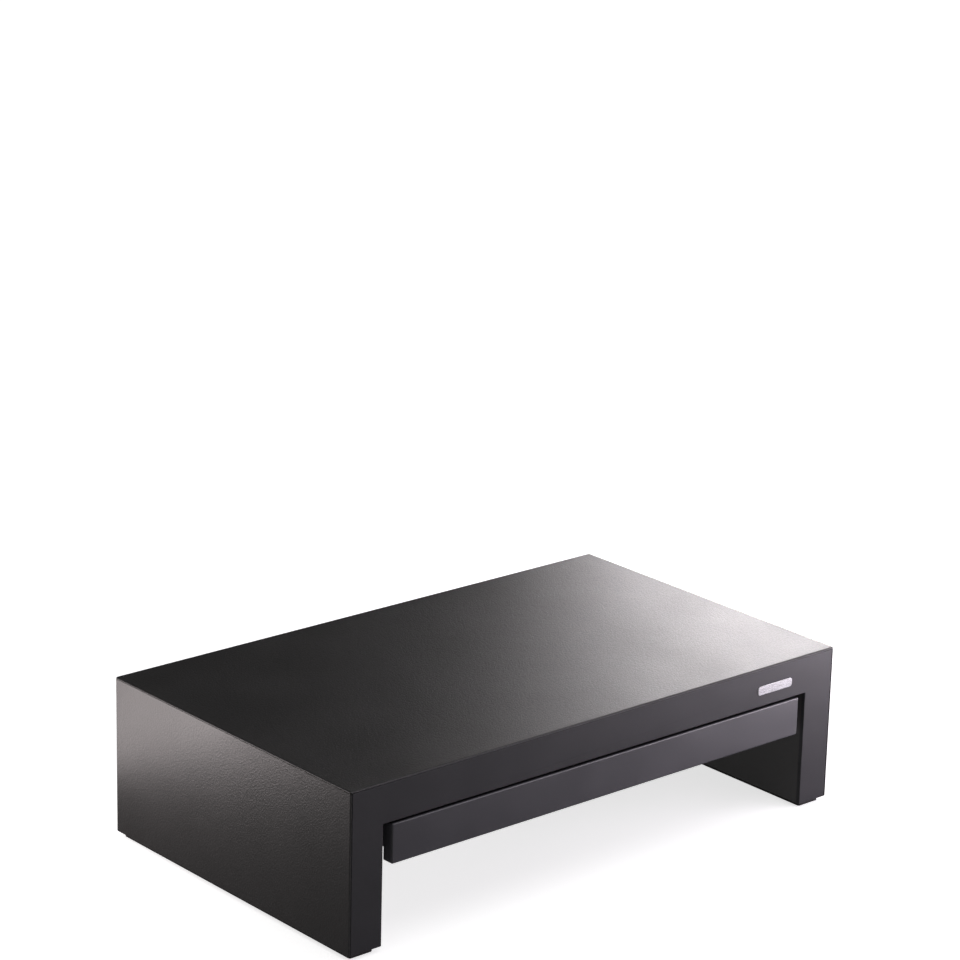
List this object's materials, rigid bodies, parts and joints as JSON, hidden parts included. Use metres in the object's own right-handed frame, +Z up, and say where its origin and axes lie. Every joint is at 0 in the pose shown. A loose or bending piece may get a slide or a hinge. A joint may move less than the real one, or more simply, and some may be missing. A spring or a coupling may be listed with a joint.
{
  "type": "monitor riser stand",
  "caption": "Low desk riser for a monitor: ribbed top on two hollow legs, a shallow pull-out drawer under the front edge and open space below it.",
  "frame": {"origin": "on the floor, under the middle of the whole stand, drawer closed", "axes": "+X to the right along the width, +Y to the back, +Z up; the drawer opens along -Y"},
  "size_m": [0.406, 0.2386, 0.109],
  "materials": {
    "shell": "black, fine pebbled grain, semi-matt",
    "liner": "black, fine spark-eroded texture",
    "fascia": "dark pearl grey, satin",
    "drawer_face": "dark pearl grey, satin",
    "tray": "black, fine texture",
    "rail": "slippery black acetal",
    "foot_rubber": "black rubber",
    "badge": "satin silver, blank",
    "screw": "zinc plated"
  },
  "bodies": {
    "riser": {"top_panel": "shell", "left_side_panel": "shell", "right_side_panel": "shell", "rear_panel": "shell", "left_inner_panel": "liner", "right_inner_panel": "liner", "left_base_plate": "liner", "right_base_plate": "liner", "left_foot_strip": "foot_rubber", "right_foot_strip": "foot_rubber", "front_fascia": "fascia", "badge_plate": "badge", "left_drawer_rail": "rail", "right_drawer_rail": "rail", "drawer_stops": "rail", "drawer_bumpers": "foot_rubber", "header_screws": "screw", "rear_header_screws": "screw", "fascia_leg_screws": "screw", "rear_leg_screws": "screw", "base_plate_screws": "screw", "rail_screws": "screw"},
    "drawer": {"drawer_tray": "tray", "drawer_front": "drawer_face", "drawer_front_screws": "screw"}
  },
  "joints": [
    {"name": "drawer_slide", "type": "slide", "parent": "riser", "child": "drawer", "axis": [0, -1, 0], "range_m": [0, 0.15]}
  ]
}
